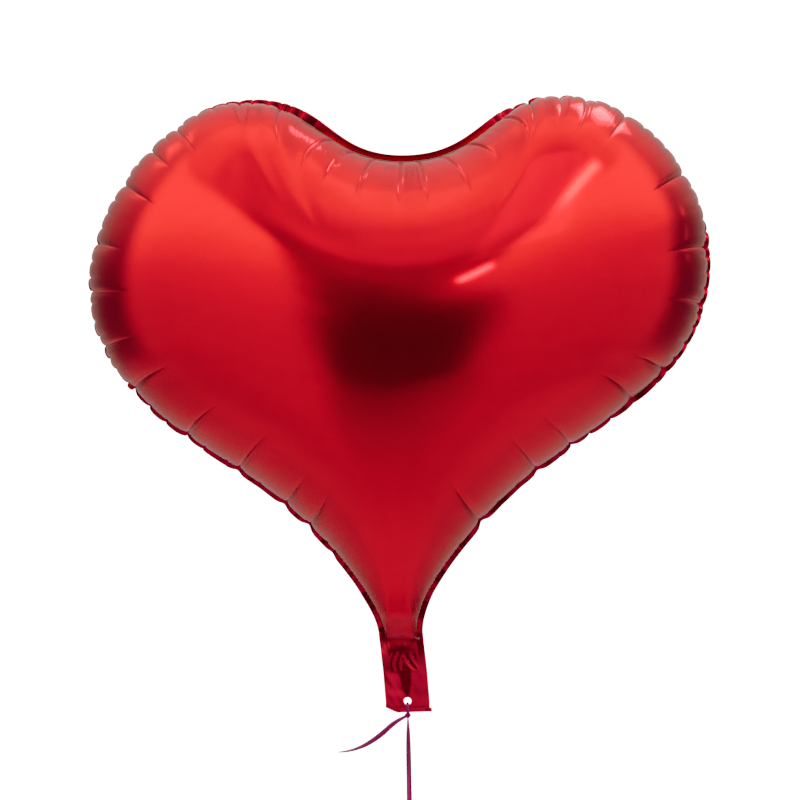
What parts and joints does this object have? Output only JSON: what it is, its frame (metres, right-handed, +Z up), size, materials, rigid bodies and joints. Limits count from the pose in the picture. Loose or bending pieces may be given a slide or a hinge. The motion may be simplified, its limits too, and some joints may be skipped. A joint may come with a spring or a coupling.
{
  "type": "heart-shaped foil balloon",
  "caption": "Inflated heart-shaped foil balloon with a flat filling tail, an inner self-closing valve and a flat ribbon tied through the tail's punched hole.",
  "frame": {"origin": "centre of the punched tie hole in the tail", "axes": "+Z up along the balloon's centre line, from the tail to the notch; the front panel faces -Y; X runs across the two lobes"},
  "size_m": [0.598, 0.223, 0.7158],
  "materials": {
    "red_foil": "satin metallic red film",
    "heat_seal": "glossy fused film edge",
    "valve_film": "thin clear-coated inner film",
    "ribbon": "satin ribbon"
  },
  "bodies": {
    "envelope": {"front_panel": "red_foil", "back_panel": "red_foil", "perimeter_seal": "heat_seal", "inner_valve_front": "valve_film", "inner_valve_back": "valve_film", "inner_valve_welds": "heat_seal"},
    "tail": {"tail_front_film": "red_foil", "tail_back_film": "red_foil", "tail_side_seal_left": "heat_seal", "tail_side_seal_right": "heat_seal", "tail_end_seal": "heat_seal", "valve_front_film": "valve_film", "valve_back_film": "valve_film", "valve_welds": "heat_seal"},
    "tie": {"tie_loop": "ribbon", "tie_knot": "ribbon"},
    "free_end": {"free_end": "ribbon"},
    "tether": {"tether": "ribbon", "end_knot": "ribbon"},
    "grip": {"grip_loop": "ribbon"}
  },
  "joints": [
    {"name": "tail_flex", "type": "hinge", "parent": "envelope", "child": "tail", "pos_m": [0, 0, 0.062], "axis": [1, 0, 0], "range_deg": [-60, 60], "stiffness_Nm_per_rad": 0.002},
    {"name": "tie_swing", "type": "hinge", "parent": "tail", "child": "tie", "pos_m": [0, 0, 0], "axis": [0, 1, 0], "range_deg": [-15, 15]},
    {"name": "free_end_flex", "type": "hinge", "parent": "tie", "child": "free_end", "pos_m": [0, 0, -0.014], "axis": [0, 1, 0], "range_deg": [-30, 8], "stiffness_Nm_per_rad": 0.0005},
    {"name": "tether_swing", "type": "hinge", "parent": "tie", "child": "tether", "pos_m": [0, 0, -0.014], "axis": [1, 0, 0], "range_deg": [-70, 70]},
    {"name": "grip_swing", "type": "hinge", "parent": "tether", "child": "grip", "pos_m": [0, 0, -0.107], "axis": [0, 1, 0], "range_deg": [-60, 60]}
  ]
}
